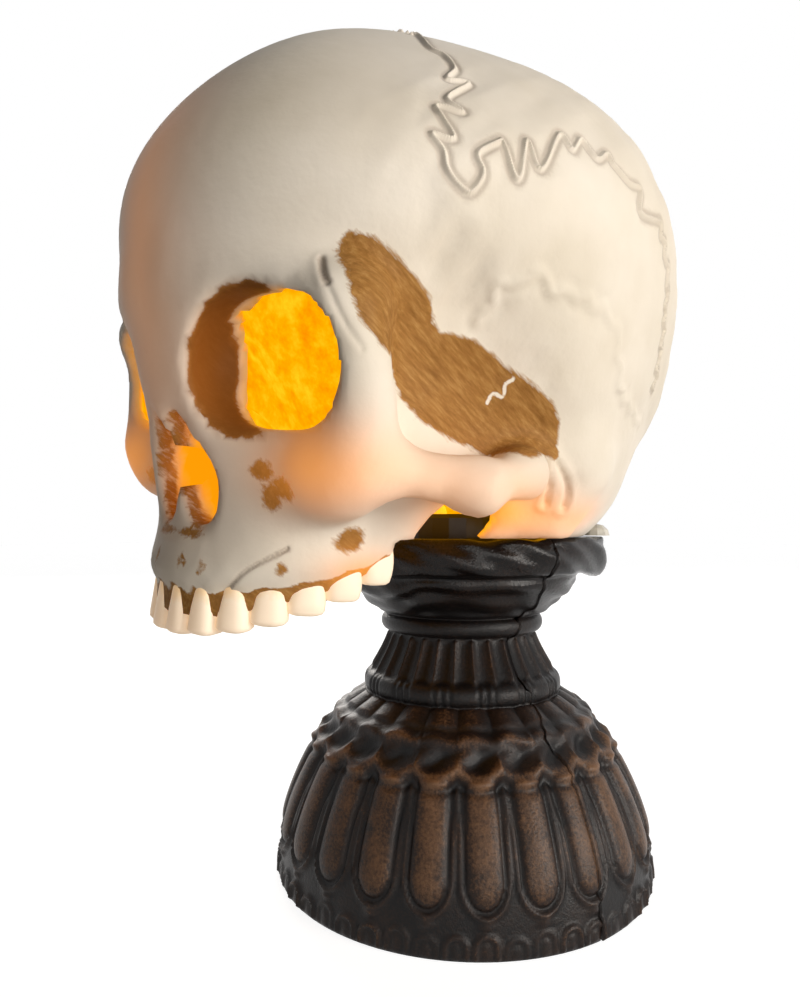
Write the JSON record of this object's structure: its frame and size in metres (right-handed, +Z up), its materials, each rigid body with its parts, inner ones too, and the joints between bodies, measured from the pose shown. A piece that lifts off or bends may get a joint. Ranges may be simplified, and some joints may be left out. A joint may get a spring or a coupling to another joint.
{
  "type": "light-up skull decoration",
  "caption": "Hollow jawless skull lamp of translucent plastic, glued at a slight lean into the cup of a fluted pedestal that holds batteries, a slide switch and small LEDs.",
  "frame": {"origin": "middle of the pedestal's flat underside, on the pedestal's axis", "axes": "+Z up along the pedestal's axis, -Y the way the face looks, +X the skull's own left"},
  "size_m": [0.1134, 0.1605, 0.2016],
  "materials": {
    "skull": "satin translucent plastic with brown wash",
    "bronze": "black plastic dry-brushed with bronze paint",
    "black": "satin",
    "board": "solder mask",
    "led": "clear lens",
    "steel": "zinc plated",
    "cell": "gloss sleeve",
    "red": "satin",
    "lead": "satin",
    "glue": "hot-melt adhesive"
  },
  "bodies": {
    "stand": {"skull_shell": "skull", "pedestal_front_shell": "bronze", "pedestal_rear_shell": "bronze", "lamp_holder": "black", "led_board": "board", "led_1": "led", "led_2": "led", "led_3": "led", "base_plate": "black", "base_screw_1": "steel", "base_screw_2": "steel", "base_screw_3": "steel", "base_screw_4": "steel", "battery_1": "cell", "battery_2": "cell", "flat_contact_1": "steel", "flat_contact_2": "steel", "spring_contact_1": "steel", "spring_contact_2": "steel", "switch_body": "steel", "red_lead": "red", "black_lead": "lead", "switch_lead": "lead", "glue_bead_1": "glue", "glue_bead_2": "glue"},
    "door": {"battery_door": "black", "door_screw": "steel"},
    "slider": {"switch_slider": "black"}
  },
  "joints": [
    {"name": "battery_door_hinge", "type": "hinge", "parent": "stand", "child": "door", "pos_m": [-0.0256, 0.017, 0.0005], "axis": [0, 1, 0], "range_deg": [0, 95]},
    {"name": "switch_slide", "type": "slide", "parent": "stand", "child": "slider", "axis": [1, 0, 0], "range_m": [-0.0036, 0]}
  ]
}
